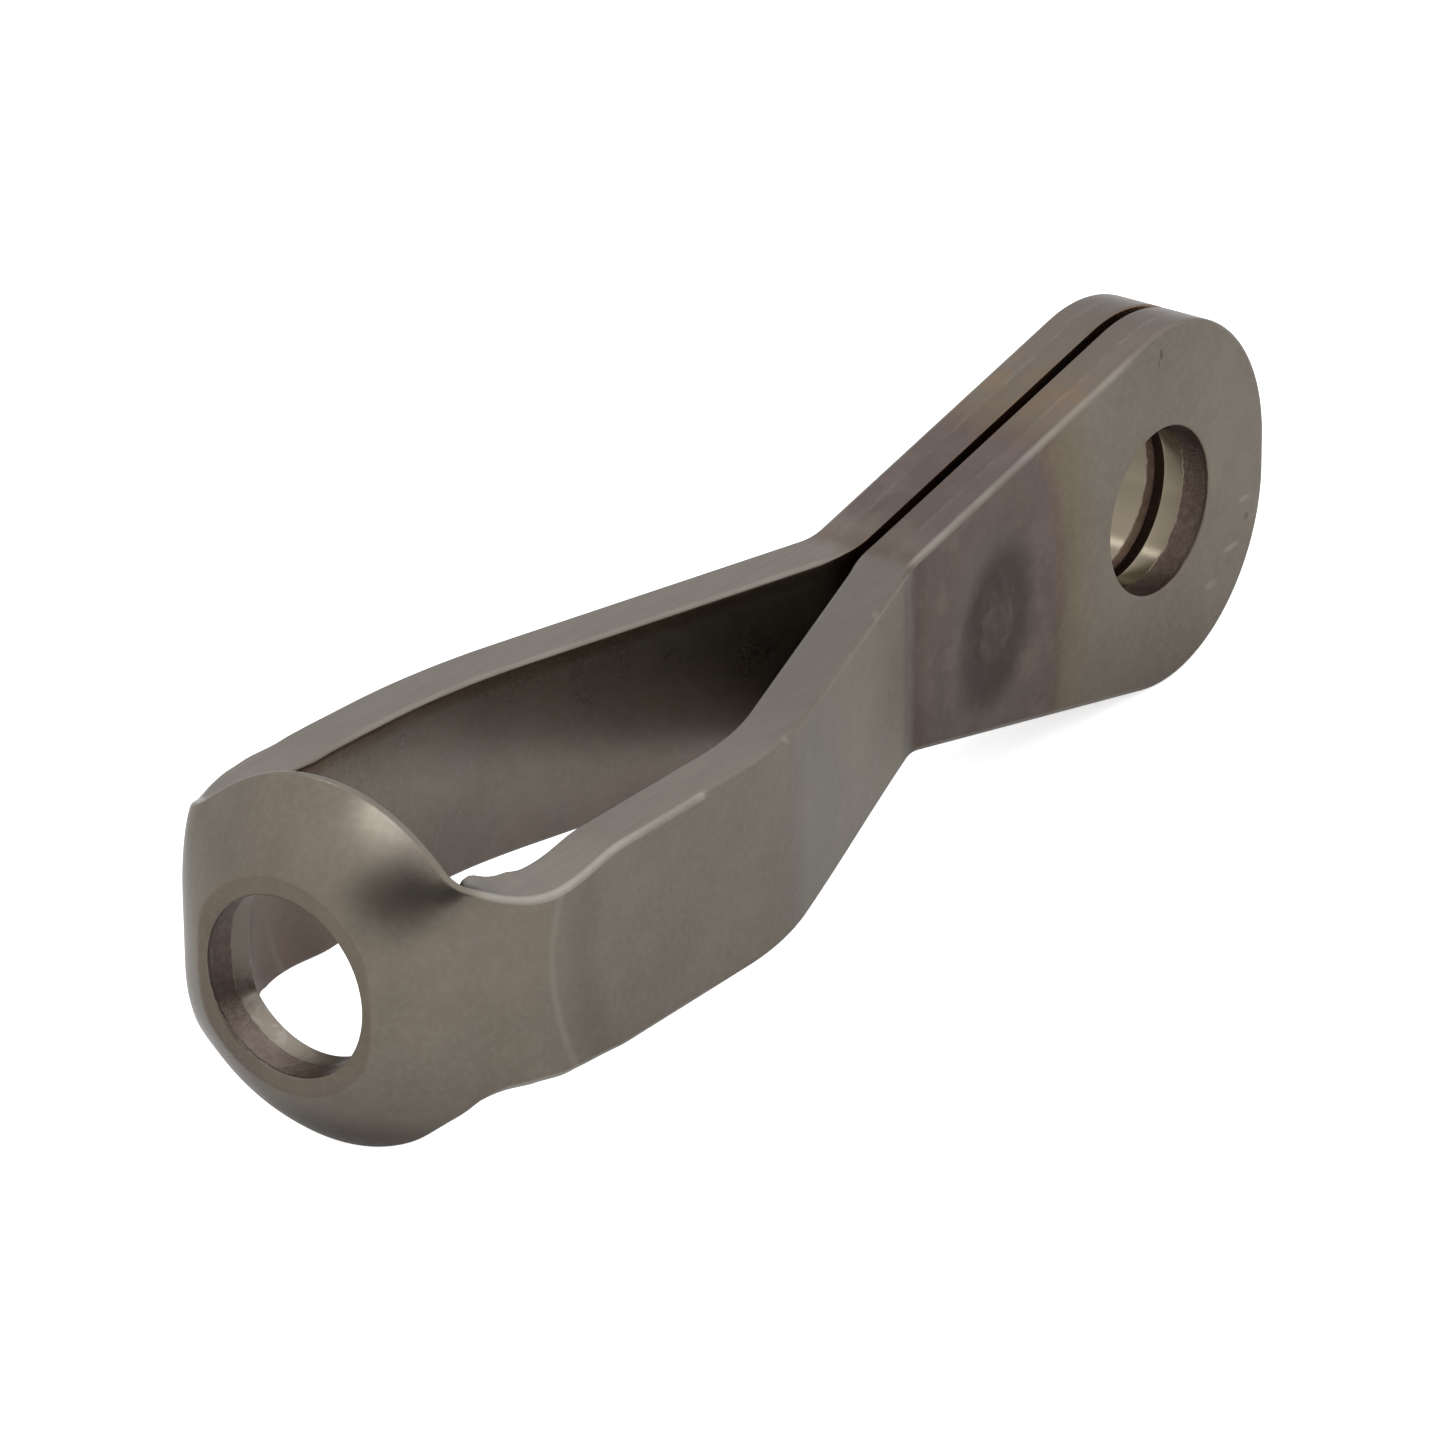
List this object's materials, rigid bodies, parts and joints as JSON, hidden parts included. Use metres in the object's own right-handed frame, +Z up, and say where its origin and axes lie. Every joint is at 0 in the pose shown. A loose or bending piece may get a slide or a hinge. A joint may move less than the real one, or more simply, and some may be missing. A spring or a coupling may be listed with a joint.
{
  "type": "strap eye end fitting",
  "caption": "Folded sheet-steel strap fitting: a domed, pierced head, an open basket between two legs, and two flat ears spot-welded together around a pin eye.",
  "frame": {"origin": "centre of the eye bore, halfway between the two ears", "axes": "+X from the domed head to the eye, +Y along the eye's axis, +Z up across the width of the strap"},
  "size_m": [0.0696, 0.018, 0.0176],
  "materials": {
    "stainless": "tumbled satin, heat-tinted at the spot weld"
  },
  "bodies": {
    "root": {"strap": "stainless"}
  },
  "joints": []
}
